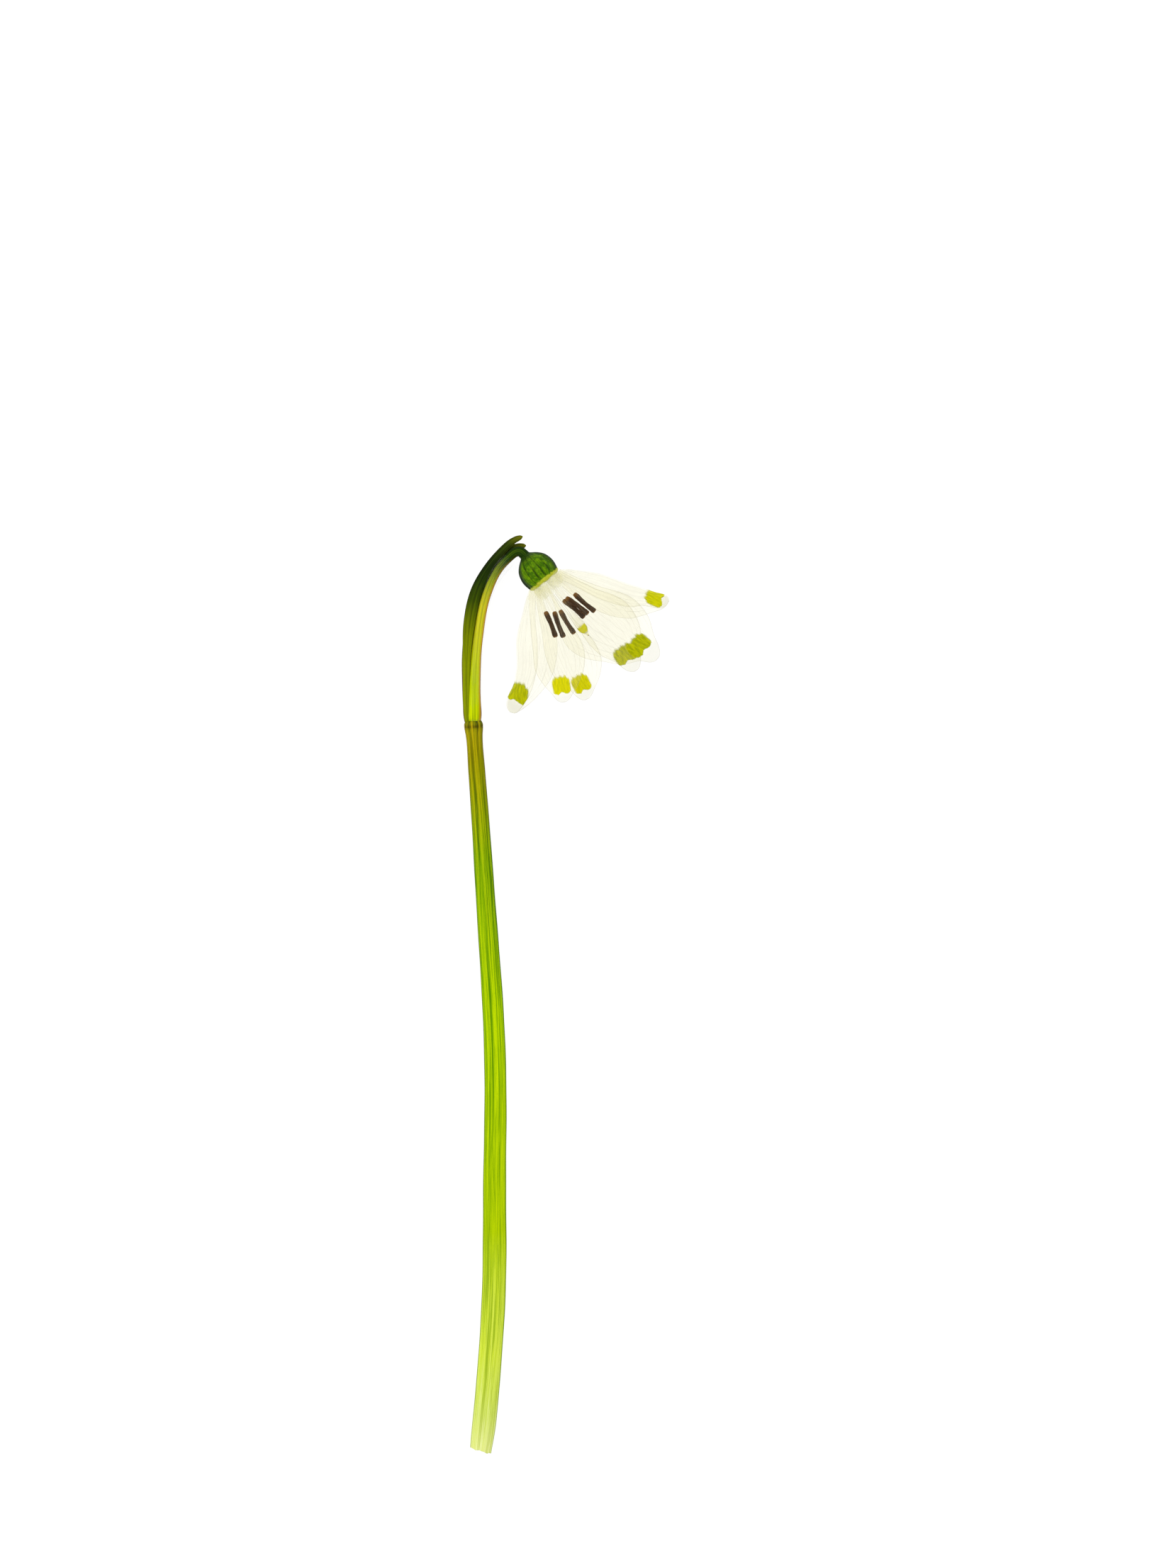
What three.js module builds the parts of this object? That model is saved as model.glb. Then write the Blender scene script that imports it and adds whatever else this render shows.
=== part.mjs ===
// A spring snowflake (Leucojum vernum) as picked: one nodding white flower on a cut scape, laid on its side on a table.
// Millimetres. +Z is up from the table, +Y runs along the scape from the cut end to the flower, +X to the open bell.
// The origin is the middle of the flower's footprint, at the height of the table.
import * as THREE from "three";
import { mergeVertices } from "three/addons/utils/BufferGeometryUtils.js";

// ---------------------------------------------------------------- driving dimensions
const BELL_AT = [-3.68, 69.92]; // centre of the ring where the tepals leave the ovary
const BELL_TURN = THREE.MathUtils.degToRad(-51.5); // the bell's own +X runs out of its mouth
const AXIS_HEIGHT = 5.08; // of the bell's axis above the table
const RING_RADIUS = 2.9; // of the top of the ovary
const TOP_SWELL = 2.4; // how far the upper tepals rise above the ring's own height
const TOP_SWELL_REACH = 16; // distance along the axis where they have done so
const UNDER_SWELL = 1.6; // the same for the tepals underneath, which lie flatter
const UNDER_SWELL_REACH = 13;

const TEPAL_THICKNESS = 0.4;
const WHORL_OFFSET = 0.37; // outer tepals lie this far outside the bell's surface, inner ones inside
const TEPAL_CUT = 0.985; // the tip is rounded off here, so that it keeps a little width
const HOOD_START = 0.72; // the share of a folded tepal's length where its hooded tip begins to close
const HOOD_CLOSED = 0.45; // how much of the bell's height is left at the end of the hood
const HOOD_OPENING = 1.1; // keeps the hood's two margins apart
const CLAW_START = 0.35; // first millimetres of a tepal, clear of the ovary
const TIP_ROUNDING = 0.9; // the share of the length where the rounded tip begins
const TIP_CROWDING = 1.5; // above 1, a sheet's cross sections crowd together towards its tip

const GAP = 0.3; // between two pieces that touch in the plant
const SCAPE_HEIGHT = 2.3; // the scape is flattened: this is its smaller diameter
const OVARY_LENGTH = 5.2;
const PEDICEL_RADIUS = 0.76;
const BRACT_THICKNESS = 0.62;
const BRACT_SPREAD = 0.52; // each bract lies this far above or below the pedicel's own height
const FILM_THICKNESS = 0.18;
const FILM_RADIUS = [1.14, 1.45]; // the membrane's distance from the pedicel's centreline, below and at the top

const ANTHER_LENGTH = 4.7;
const ANTHER_RADIUS = 0.46;
const FILAMENT_RADIUS = 0.27;
const STAMEN_FOOT = 1.75; // distance of the filaments' feet from the bell's axis

// ---------------------------------------------------------------- materials
const finish = (color, roughness) => new THREE.MeshStandardMaterial({ color, roughness, metalness: 0 });
const SCAPE_GREEN = finish(0x8fb41c, 0.5);
const BRACT_GREEN = finish(0x4a5a1c, 0.5);
const PEDICEL_GREEN = finish(0xa9b81a, 0.45);
const OVARY_GREEN = finish(0x3f7d0c, 0.4);
const FILM_WHITE = finish(0xe9ebdc, 0.35);
const TEPAL_WHITE = finish(0xf3f1e4, 0.5);
const FILAMENT_CREAM = finish(0xeee8cf, 0.5);
const ANTHER_BROWN = finish(0x3d2616, 0.7);
const STYLE_CREAM = finish(0xe6e0a8, 0.45);

// ---------------------------------------------------------------- small tools
const flower = new THREE.Group();
const bell = new THREE.Group();
bell.position.set(BELL_AT[0], BELL_AT[1], AXIS_HEIGHT);
bell.rotation.z = BELL_TURN;
flower.add(bell);

const smooth = (x) => x * x * (3 - 2 * x);
const clamp = (x, low, high) => Math.min(high, Math.max(low, x));
const through = (points) => new THREE.CatmullRomCurve3(points.map((p) => new THREE.Vector3(...p)));

// A value that is given at a few stations and runs smoothly between them.
function stations(pairs) {
  return (s) => {
    const next = pairs.findIndex(([at]) => at >= s);
    if (next === 0) return pairs[0][1];
    if (next < 0) return pairs[pairs.length - 1][1];
    const [a, b] = [pairs[next - 1], pairs[next]];
    return a[1] + (b[1] - a[1]) * smooth((s - a[0]) / (b[0] - a[0]));
  };
}

// Moves every vertex of a closed three.js shape to where place(x, y, z) says, and welds the seams.
function reshaped(shape, place) {
  shape.deleteAttribute("normal");
  shape.deleteAttribute("uv");
  const welded = mergeVertices(shape, 1e-5);
  const at = welded.getAttribute("position");
  for (let i = 0; i < at.count; i++) {
    const p = place(at.getX(i), at.getY(i), at.getZ(i));
    at.setXYZ(i, p.x, p.y, p.z);
  }
  return welded;
}

// A stalk along a curve. half(s) gives its half width in the table's plane and its half height at s, from 0 to 1.
function stalk(curve, half, sides, steps) {
  const up = new THREE.Vector3(0, 0, 1);
  return reshaped(new THREE.CylinderGeometry(1, 1, 1, sides, steps), (x, y, z) => {
    const s = clamp(y + 0.5, 0, 1);
    const along = curve.getTangentAt(s);
    const across = along.clone().cross(up).normalize();
    const raised = across.clone().cross(along);
    const [wide, high] = half(s);
    return curve.getPointAt(s).addScaledVector(across, x * wide).addScaledVector(raised, z * high);
  });
}

// A round body turned about the bell's axis, from [distance along the axis, radius] pairs.
function turned(profile, sides) {
  const points = profile.map(([x, r]) => new THREE.Vector2(r, x));
  const round = new THREE.LatheGeometry(points, sides);
  return reshaped(round, (x, y, z) => new THREE.Vector3(y, x, -z));
}

function add(group, name, geometry, material) {
  const mesh = new THREE.Mesh(geometry, material);
  mesh.name = name;
  group.add(mesh);
  return mesh;
}

// ---------------------------------------------------------------- the bell's surface
// The two outlines of the flattened bell, seen from above, which are also the folds of its two side tepals.
const LEFT_FOLD = through([
  [0, -2.6, 0],
  [2.2, -5.9, 0],
  [5.4, -9.75, 0],
  [8.9, -12.6, 0],
  [11.4, -14.6, 0],
  [12.4, -16.4, 0],
  [12.8, -17.5, 0],
  [13.4, -18.15, 0],
  [14.2, -18.2, 0],
]);
const RIGHT_FOLD = through([
  [0, 3.2, 0],
  [1.4, 5.0, 0],
  [5.7, 8.75, 0],
  [9.3, 10.95, 0],
  [12.3, 12.95, 0],
  [14.0, 14.1, 0],
  [15.2, 14.5, 0],
  [16.1, 14.1, 0],
]);

// The outline's y at a distance x along the axis, as a function.
function outline(fold) {
  const points = fold.getPoints(80);
  return (x) => {
    const next = points.findIndex((p) => p.x >= x);
    if (next === 0) return points[0].y;
    if (next < 0) return points[points.length - 1].y;
    const [a, b] = [points[next - 1], points[next]];
    return a.y + ((b.y - a.y) * (x - a.x)) / (b.x - a.x);
  };
}
const leftOf = outline(LEFT_FOLD);
const rightOf = outline(RIGHT_FOLD);

// Height of the bell's surface over its axis, on the upper face (side 1) or under it (side -1).
function bellHeight(x, y, side) {
  const [swell, reach] = side > 0 ? [TOP_SWELL, TOP_SWELL_REACH] : [UNDER_SWELL, UNDER_SWELL_REACH];
  const most = RING_RADIUS + swell * Math.sin((clamp(x / reach, 0, 1) * Math.PI) / 2);
  const [left, right] = [leftOf(x), rightOf(x)];
  const share = clamp((2 * y - left - right) / (right - left), -1, 1);
  return side * most * Math.sqrt(1 - share * share);
}

// ---------------------------------------------------------------- tepals
// Half widths of a tepal at stations along its midrib; the rounded tip comes on top.
const tipCap = (s) => (s < TIP_ROUNDING ? 1 : Math.sqrt(1 - ((s - TIP_ROUNDING) / (1 - TIP_ROUNDING)) ** 2));

// The middle surface of a tepal that lies on the upper or the lower face of the bell: t runs from -1 to 1 across it.
function faceTepal({ midrib, side, low, high }) {
  const line = through(midrib.map(([x, y]) => [x, y, 0]));
  const [lowHalf, highHalf] = [stations(low), stations(high)];
  return (s, t) => {
    const p = line.getPointAt(s);
    const along = line.getTangentAt(s);
    const half = (t < 0 ? lowHalf(s) : highHalf(s)) * tipCap(s);
    const [x, y] = [p.x - along.y * half * t, p.y + along.x * half * t];
    return new THREE.Vector3(x, y, bellHeight(x, y, side));
  };
}

// The middle surface of a tepal that is folded round one side of the bell: t is 0 on the fold,
// 1 on its margin on the upper face and -1 on its margin underneath. Near the tip the two faces close to a hood.
function sideTepal({ fold, upper, under }) {
  const [upperMargin, underMargin] = [upper, under].map((line) => through(line.map(([x, y]) => [x, y, 0])));
  const opening = stations([[0, 1], [HOOD_START, 1], [1, HOOD_CLOSED]]);
  return (s, t) => {
    const side = t < 0 ? -1 : 1;
    const margin = (side < 0 ? underMargin : upperMargin).getPointAt(s);
    const p = fold.getPointAt(s).lerp(margin, 1 - Math.cos((t * Math.PI) / 2));
    const hood = HOOD_OPENING * (1 - opening(s)) * Math.sin((t * Math.PI) / 2);
    p.z = side * Math.hypot(bellHeight(p.x, p.y, side) * opening(s), hood);
    return p;
  };
}

// Thickens a middle surface into a closed sheet, shifted by offset to the outside of the bell. The normal here
// points down on both faces of the bell and inwards at its left fold, so out is -1 where that is already outside.
function sheet(surface, { along, across, offset, thickness, from = 0, to = 1, out = 1 }) {
  const step = 1e-3;
  return reshaped(new THREE.BoxGeometry(1, 1, 1, across, along, 1), (x, y, z) => {
    const s = from + (to - from) * (1 - (0.5 - y) ** TIP_CROWDING);
    const t = clamp(2 * x, -1, 1);
    const here = surface(s, t);
    const ds = surface(Math.min(s + step, 1), t).sub(surface(Math.max(s - step, 0), t));
    const dt = surface(s, Math.min(t + step, 1)).sub(surface(s, Math.max(t - step, -1)));
    const normal = dt.cross(ds).normalize();
    return here.addScaledVector(normal, z * thickness - out * offset);
  });
}

const OUTER = { offset: WHORL_OFFSET };
const INNER = { offset: -WHORL_OFFSET };
const CLAW_HALF = 1.15;

function addTepal(name, surface, whorl, out) {
  const shape = { along: 14, across: 8, thickness: TEPAL_THICKNESS, from: 0.02, to: TEPAL_CUT, out, ...whorl };
  add(bell, name, sheet(surface, shape), TEPAL_WHITE);
}

// Six tepals: two folded round the sides, two on the upper face and two underneath. Inner and outer ones alternate.
addTepal(
  "tepal_outer_left",
  sideTepal({
    fold: LEFT_FOLD,
    upper: [[0.2, -1.6], [4.6, -5.2], [8.8, -8.2], [11.6, -10.6], [13.2, -13.4], [13.9, -16.0], [14.4, -18.0]],
    under: [[0.2, -1.4], [4.6, -2.9], [9.6, -4.8], [13.4, -8.9], [14.7, -13.0], [14.85, -16.4], [14.45, -18.0]],
  }),
  OUTER,
  1,
);
addTepal(
  "tepal_inner_right",
  sideTepal({
    fold: RIGHT_FOLD,
    upper: [[0.2, 1.6], [4.3, 3.4], [8.6, 5.4], [12.3, 8.1], [13.9, 10.6], [15.7, 12.3], [16.25, 13.9]],
    under: [[0.2, 1.4], [5.6, 2.4], [11.3, 4.9], [14.2, 7.7], [15.3, 9.9], [16.2, 12.3], [16.3, 13.9]],
  }),
  INNER,
  -1,
);
addTepal(
  "tepal_inner_upper",
  faceTepal({
    midrib: [[CLAW_START, -1.35], [7.0, -4.4], [13.2, -7.5], [18.3, -10.4]],
    side: 1,
    low: [[0, CLAW_HALF], [0.3, 1.7], [0.55, 3.2], [0.7, 4.0], [0.85, 2.7], [0.93, 1.6], [1, 1.4]],
    high: [[0, CLAW_HALF], [0.3, 2.9], [0.62, 4.9], [0.76, 4.2], [0.88, 2.7], [0.94, 1.7], [1, 1.4]],
  }),
  INNER,
  1,
);
addTepal(
  "tepal_outer_upper",
  faceTepal({
    midrib: [[CLAW_START, 1.35], [7.5, 3.0], [15.0, 4.9], [22.4, 6.5]],
    side: 1,
    low: [[0, CLAW_HALF], [0.22, 4.4], [0.42, 7.9], [0.56, 7.7], [0.7, 6.2], [0.84, 4.3], [0.91, 1.9], [1, 1.6]],
    high: [[0, CLAW_HALF], [0.3, 2.9], [0.62, 5.1], [0.76, 4.3], [0.88, 2.5], [0.95, 1.7], [1, 1.6]],
  }),
  OUTER,
  1,
);
addTepal(
  "tepal_outer_under",
  faceTepal({
    midrib: [[CLAW_START, 1.3], [7.0, 2.6], [14.5, 3.6], [21.6, 2.7]],
    side: -1,
    low: [[0, CLAW_HALF], [0.3, 2.6], [0.6, 4.3], [0.76, 3.8], [0.88, 2.2], [0.95, 1.6], [1, 1.5]],
    high: [[0, CLAW_HALF], [0.3, 2.9], [0.58, 5.0], [0.76, 3.9], [0.88, 2.2], [0.95, 1.5], [1, 1.4]],
  }),
  OUTER,
  -1,
);
addTepal(
  "tepal_inner_under",
  faceTepal({
    midrib: [[CLAW_START, -1.3], [7.5, -3.4], [14.5, -5.6], [20.2, -7.0]],
    side: -1,
    low: [[0, CLAW_HALF], [0.3, 2.2], [0.6, 3.6], [0.76, 3.2], [0.88, 1.8], [0.95, 1.4], [1, 1.3]],
    high: [[0, CLAW_HALF], [0.3, 2.8], [0.6, 5.3], [0.78, 5.0], [0.88, 3.6], [0.95, 2.0], [1, 1.7]],
  }),
  INNER,
  -1,
);

// ---------------------------------------------------------------- ovary, style and stamens
add(
  bell,
  "ovary",
  turned(
    [
      [-OVARY_LENGTH, 0],
      [-OVARY_LENGTH, 0.9],
      [-4.75, 1.5],
      [-4.0, 2.2],
      [-3.0, 2.8],
      [-1.9, 3.1],
      [-0.8, 3.08],
      [0, 2.75],
      [0, 0],
    ],
    18,
  ),
  OVARY_GREEN,
);
add(
  bell,
  "style",
  turned(
    [
      [GAP, 0],
      [GAP, 0.62],
      [3.0, 0.55],
      [6.0, 0.85],
      [8.4, 1.14],
      [9.8, 1.2],
      [10.7, 0.9],
      [11.2, 0.36],
      [11.9, 0.2],
      [12.1, 0],
    ],
    12,
  ),
  STYLE_CREAM,
);

// Each stamen stands at its own angle round the style, and leans by its own anther's two ends [x, y].
const STAMENS = [
  { angle: 170, foot: [4.35, -3.2], head: [8.9, -4.55] },
  { angle: 110, foot: [5.75, -1.15], head: [10.4, -1.75] },
  { angle: 50, foot: [4.7, 0.95], head: [9.2, 2.15] },
  { angle: -10, foot: [4.95, 2.5], head: [9.7, 3.4] },
  { angle: -70, foot: [4.6, 0.4], head: [9.1, 1.35] },
  { angle: -130, foot: [5.2, -2.0], head: [9.6, -3.45] },
];
const STAMEN_RISE = 2.25; // the most an anther lies above or below the bell's axis

STAMENS.forEach(({ angle, foot, head }, i) => {
  const turn = THREE.MathUtils.degToRad(angle);
  const rise = STAMEN_RISE * Math.sin(turn);
  const start = new THREE.Vector3(foot[0], foot[1], rise * 0.92);
  const end = new THREE.Vector3(head[0], head[1], rise * 1.08);
  const lean = end.clone().sub(start).normalize();
  end.copy(start).addScaledVector(lean, ANTHER_LENGTH);
  const root = new THREE.Vector3(GAP, STAMEN_FOOT * Math.cos(turn), STAMEN_FOOT * Math.sin(turn));
  const top = start.clone().addScaledVector(lean, -GAP);
  const knee = root.clone().lerp(top, 0.55).add(new THREE.Vector3(0, 0.12 * Math.cos(turn), 0.12 * Math.sin(turn)));
  const thread = new THREE.CatmullRomCurve3([root, knee, top]);
  const thinning = (s) => {
    const r = FILAMENT_RADIUS * (1 - 0.4 * s);
    return [r, r];
  };
  add(bell, `filament_${i + 1}`, stalk(thread, thinning, 6, 6), FILAMENT_CREAM);
  const plump = (s) => {
    const r = ANTHER_RADIUS * (0.7 + 0.3 * Math.sin(Math.PI * clamp(0.08 + 0.84 * s, 0, 1)));
    return [r, r * 0.85];
  };
  add(bell, `anther_${i + 1}`, stalk(new THREE.LineCurve3(start, end), plump, 8, 6), ANTHER_BROWN);
});

// ---------------------------------------------------------------- scape, pedicel and spathe
// The scape lies along the table for most of its length, and rises a little towards the flower.
const REST = SCAPE_HEIGHT / 2; // height of its centreline where it lies on the table
const scapeLine = through([
  [-14.5, -77.7, REST],
  [-13.8, -71.9, REST],
  [-12.4, -54.0, REST],
  [-12.1, -30.0, REST],
  [-12.1, -9.5, REST + 0.01],
  [-13.2, 9.0, REST + 0.04],
  [-14.2, 24.0, 1.4],
  [-15.1, 37.0, 2.05],
  [-15.6, 44.9, 2.6],
]);
const scapeHalf = stations([[0, 1.85], [0.25, 1.95], [0.55, 1.83], [0.8, 1.62], [0.96, 1.5], [1, 1.56]]);
add(flower, "scape", stalk(scapeLine, (s) => [scapeHalf(s), SCAPE_HEIGHT / 2], 12, 34), SCAPE_GREEN);

// The pedicel arches over inside the spathe and bends sharply down into the ovary.
const neck = new THREE.Vector3(-OVARY_LENGTH - GAP, 0, 0)
  .applyAxisAngle(new THREE.Vector3(0, 0, 1), BELL_TURN)
  .add(bell.position);
const PEDICEL_POINTS = [
  [-15.5, 45.3, 2.65],
  [-15.45, 53.0, 3.05],
  [-14.9, 60.1, 3.5],
  [-13.65, 66.9, 4.05],
  [-11.7, 71.4, 4.5],
  [-9.6, 73.75, 4.85],
];
const pedicelLine = through([...PEDICEL_POINTS, [-8.45, 74.6, 5.0], [-7.65, 74.6, 5.07], neck.toArray()]);
const pedicelHalf = stations([[0, 0.82], [0.2, PEDICEL_RADIUS], [0.85, PEDICEL_RADIUS], [1, 0.62]]);
add(
  flower,
  "pedicel",
  stalk(pedicelLine, (s) => [pedicelHalf(s), pedicelHalf(s)], 8, 26),
  PEDICEL_GREEN,
);

// Two green bracts lie one over the other along the pedicel's outer side, and part into two tips.
const BRACT_POINTS = [
  [-16.8, 45.7, 2.7],
  [-16.85, 52.0, 3.0],
  [-16.75, 57.5, 3.35],
  [-16.35, 62.4, 3.65],
  [-15.05, 68.1, 4.15],
  [-12.85, 72.15, 4.55],
];
const BRACT_HALF = [[0, 0.42], [0.3, 0.5], [0.5, 0.92], [0.72, 0.86], [0.9, 0.58], [1, 0.34]];
function addBract(name, side, tip) {
  const raised = BRACT_POINTS.map(([x, y, z]) => [x, y, z + side * BRACT_SPREAD]);
  const half = stations(BRACT_HALF);
  const flat = (s) => [half(s), BRACT_THICKNESS / 2];
  add(flower, name, stalk(through([...raised, ...tip]), flat, 8, 26), BRACT_GREEN);
}
addBract("spathe_bract_upper", 1, [[-10.2, 75.35, 5.45], [-8.8, 76.5, 5.65], [-7.2, 77.3, 5.8]]);
addBract("spathe_bract_lower", -1, [[-10.2, 74.8, 4.05], [-8.35, 75.55, 3.9], [-6.55, 75.8, 3.8]]);

// A clear membrane joins the bracts' inner edges round the other side of the pedicel.
const filmLine = through([...PEDICEL_POINTS, [-9.3, 73.95, 4.9]]);
const filmRadius = stations([[0, FILM_RADIUS[0]], [0.6, FILM_RADIUS[0]], [0.95, FILM_RADIUS[1]]]);
const FILM_OPENING = THREE.MathUtils.degToRad(132); // from the inner side to each edge, by the bracts
function film(s, t) {
  const along = filmLine.getTangentAt(s);
  const across = along.clone().cross(new THREE.Vector3(0, 0, 1)).normalize();
  const raised = across.clone().cross(along);
  const turn = FILM_OPENING * t;
  const radius = filmRadius(s);
  return filmLine
    .getPointAt(s)
    .addScaledVector(across, radius * Math.cos(turn))
    .addScaledVector(raised, radius * Math.sin(turn));
}
add(
  flower,
  "spathe_membrane",
  sheet(film, { along: 20, across: 8, offset: 0, thickness: FILM_THICKNESS, from: 0.04, to: 0.97 }),
  FILM_WHITE,
);

export default flower;
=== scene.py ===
"""Spring snowflake (Leucojum vernum), one cut flower on a pale table: surfaces and fine shapes round the CAD frame."""

import math

import bmesh
import bpy
import numpy as np
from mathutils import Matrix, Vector


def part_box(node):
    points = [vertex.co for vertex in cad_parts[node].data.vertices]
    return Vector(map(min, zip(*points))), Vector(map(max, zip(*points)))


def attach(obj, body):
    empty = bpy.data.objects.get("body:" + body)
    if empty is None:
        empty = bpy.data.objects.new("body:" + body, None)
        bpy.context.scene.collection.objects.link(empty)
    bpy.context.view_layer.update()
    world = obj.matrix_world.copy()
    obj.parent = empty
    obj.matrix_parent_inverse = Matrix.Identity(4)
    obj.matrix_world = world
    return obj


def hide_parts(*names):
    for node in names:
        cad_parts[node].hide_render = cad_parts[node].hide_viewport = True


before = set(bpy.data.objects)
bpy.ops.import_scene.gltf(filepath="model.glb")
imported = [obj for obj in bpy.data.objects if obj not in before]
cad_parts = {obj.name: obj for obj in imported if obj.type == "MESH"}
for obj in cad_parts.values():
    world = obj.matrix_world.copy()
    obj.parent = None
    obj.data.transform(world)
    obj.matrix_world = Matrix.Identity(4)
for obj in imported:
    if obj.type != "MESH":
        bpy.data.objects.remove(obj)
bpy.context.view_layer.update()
scene = bpy.context.scene

# -------- sizes and places, in millimetres
MM = 0.001
ovary_low, ovary_high = (np.array(corner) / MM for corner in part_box("ovary"))
scape_low, scape_high = (np.array(corner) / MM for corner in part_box("scape"))

BELL_TURN = math.radians(-51.5)  # the bell's own x axis runs out of its mouth
RING_FROM_OVARY = np.array([1.035, -1.475, 0.0])  # from the middle of the ovary's box to the ring of tepals
RING_AT = (ovary_low + ovary_high) / 2 + RING_FROM_OVARY
RING_RADIUS = 2.9
SWELL = {1: 2.4, -1: 1.6}  # how far the upper and the lower tepals stand off the axis beyond the ring's radius
SWELL_REACH = {1: 16.0, -1: 13.0}
WHORL_OFFSET = 0.37  # outer tepals lie outside the bell's surface by this much, inner ones inside
TIP_ROUNDING = 0.915
HOOD_START, HOOD_CLOSED, HOOD_OPENING = 0.72, 0.45, 1.1
CLAW_HALF = 1.25
TEPAL_THICKNESS, MARGIN_THICKNESS = 0.24, 0.09
TEPAL_ROWS, TEPAL_COLUMNS = 120, 61
FIRST_SHARE = 0.012  # a tepal's mesh starts this share of its length from the ring
FOLDED_END, FLAT_END = 0.99, 0.998
SPOT_LENGTH, SPOT_HALF = 3.2, 1.6
VEIN_LINES, VEIN_SIDES, VEIN_RADIUS, VEIN_REACH = 10, 6, 0.035, 0.62
OVARY_LENGTH = 5.35
STYLE_LENGTH = 12.1
STAMEN_RING, STAMEN_RISE, ANTHER_LENGTH, ANTHER_FLATNESS = 1.95, 2.25, 4.7, 0.82
PAD_COUNT, PAD_RING, PAD_RADIUS, PADS_OUT = 11, 1.95, 0.8, 1.35
SCAPE_HEIGHT = 2.3
CUT_SHARE = 0.0045  # the uneven lower end takes up this share of the scape
FILM_THICKNESS, FILM_TURN = 0.07, math.radians(125)

VIEW_CENTRE = (3.72, 35.4)
VIEW_HEIGHT = 265.4  # millimetres of table from the top to the bottom of the view
LENS, SENSOR = 100.0, 36.0


# -------- curves and values along a piece
def hermite(a, b, start, end, t):
    """From a to b as t runs from 0 to 1, leaving with slope start and arriving with slope end."""
    return (
        a * (2 * t**3 - 3 * t**2 + 1)
        + b * (3 * t**2 - 2 * t**3)
        + start * (t**3 - 2 * t**2 + t)
        + end * (t**3 - t**2)
    )


class Line:
    """A smooth curve through a few points, read by the share of its length from 0 to 1."""

    FINENESS = 60
    STEP = 0.004

    def __init__(self, points):
        points = [np.array(p, float) if len(p) == 3 else np.array([*p, 0.0]) for p in points]
        knots = [2 * points[0] - points[1], *points, 2 * points[-1] - points[-2]]
        path = []
        for span in zip(knots, knots[1:], knots[2:], knots[3:]):
            path += [self.between(*span, k / self.FINENESS) for k in range(self.FINENESS)]
        self.path = np.array([*path, points[-1]])
        reach = np.linalg.norm(np.diff(self.path, axis=0), axis=1).cumsum()
        self.length = reach[-1]
        self.share = np.concatenate([[0.0], reach]) / self.length

    @staticmethod
    def between(a, b, c, d, t):
        """Centripetal Catmull-Rom between b and c."""
        step = [max(np.linalg.norm(q - p) ** 0.5, 1e-4) for p, q in ((a, b), (b, c), (c, d))]
        start = (b - a) / step[0] - (c - a) / (step[0] + step[1]) + (c - b) / step[1]
        end = (c - b) / step[1] - (d - b) / (step[1] + step[2]) + (d - c) / step[2]
        return hermite(b, c, start * step[1], end * step[1], t)

    def at(self, s):
        s = np.clip(s, 0, 1)
        return np.stack([np.interp(s, self.share, self.path[:, k]) for k in range(3)], -1)

    def along(self, s):
        run = self.at(np.asarray(s) + self.STEP) - self.at(np.asarray(s) - self.STEP)
        return run / np.linalg.norm(run, axis=-1, keepdims=True)

    def directions(self, s):
        """Along the line, across it in the plane of the table, and up from it."""
        along = self.along(s)
        across = np.cross(along, [0, 0, 1.0])
        across /= np.linalg.norm(across, axis=-1, keepdims=True)
        return along, across, np.cross(across, along)


def stations(pairs):
    """A value given at a few stations, running smoothly through them."""
    at, value = (np.array(column, float) for column in zip(*pairs))
    slope = np.gradient(value, at)

    def read(s):
        s = np.clip(s, at[0], at[-1])
        k = np.clip(np.searchsorted(at, s, side="right") - 1, 0, len(at) - 2)
        gap = at[k + 1] - at[k]
        return hermite(value[k], value[k + 1], slope[k] * gap, slope[k + 1] * gap, (s - at[k]) / gap)

    return read


def ease(x):
    x = np.clip(x, 0, 1)
    return x * x * (3 - 2 * x)


def from_bell(points):
    """Bell coordinates (x out of its mouth, y across, z up) to the row frame."""
    turn = np.array([[math.cos(BELL_TURN), -math.sin(BELL_TURN)], [math.sin(BELL_TURN), math.cos(BELL_TURN)]])
    placed = np.array(points, float)
    placed[..., :2] = placed[..., :2] @ turn.T
    return placed + RING_AT


def in_bell(points, faces, values):
    return from_bell(points), faces, values


# -------- meshes
def link(obj):
    scene.collection.objects.link(obj)
    return obj


def settle(name, mesh, nodes=()):
    """A finished mesh as a piece that rides on the flower."""
    obj = link(bpy.data.objects.new(name, mesh))
    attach(obj, "root")
    if nodes:
        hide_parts(*nodes)


def set_value(mesh, key, data):
    """Three numbers on each point, which materials and node trees read by name."""
    attribute = mesh.attributes.new(key, "FLOAT_VECTOR", "POINT")
    attribute.data.foreach_set("vector", np.asarray(data, np.float32).ravel())


def piece(name, shape, material, nodes):
    """One closed mesh at its place, from its points, its faces and the named values on its points."""
    points, faces, values = shape
    mesh = bpy.data.meshes.new(name)
    mesh.from_pydata((np.asarray(points) * MM).tolist(), [], faces)
    for key, data in values.items():
        set_value(mesh, key, data)
    shell = bmesh.new()
    shell.from_mesh(mesh)
    bmesh.ops.recalc_face_normals(shell, faces=shell.faces)
    shell.to_mesh(mesh)
    shell.free()
    mesh.polygons.foreach_set("use_smooth", [True] * len(mesh.polygons))
    mesh.materials.append(material)
    settle(name, mesh, nodes)


def grid_faces(rows, columns, start=0, wrap=False):
    """Quads of a grid of points stored row by row; wrap closes each row on itself."""
    faces = []
    for i in range(rows - 1):
        for j in range(columns if wrap else columns - 1):
            k = (j + 1) % columns
            a, b = start + i * columns, start + (i + 1) * columns
            faces.append((a + j, a + k, b + k, b + j))
    return faces


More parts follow.
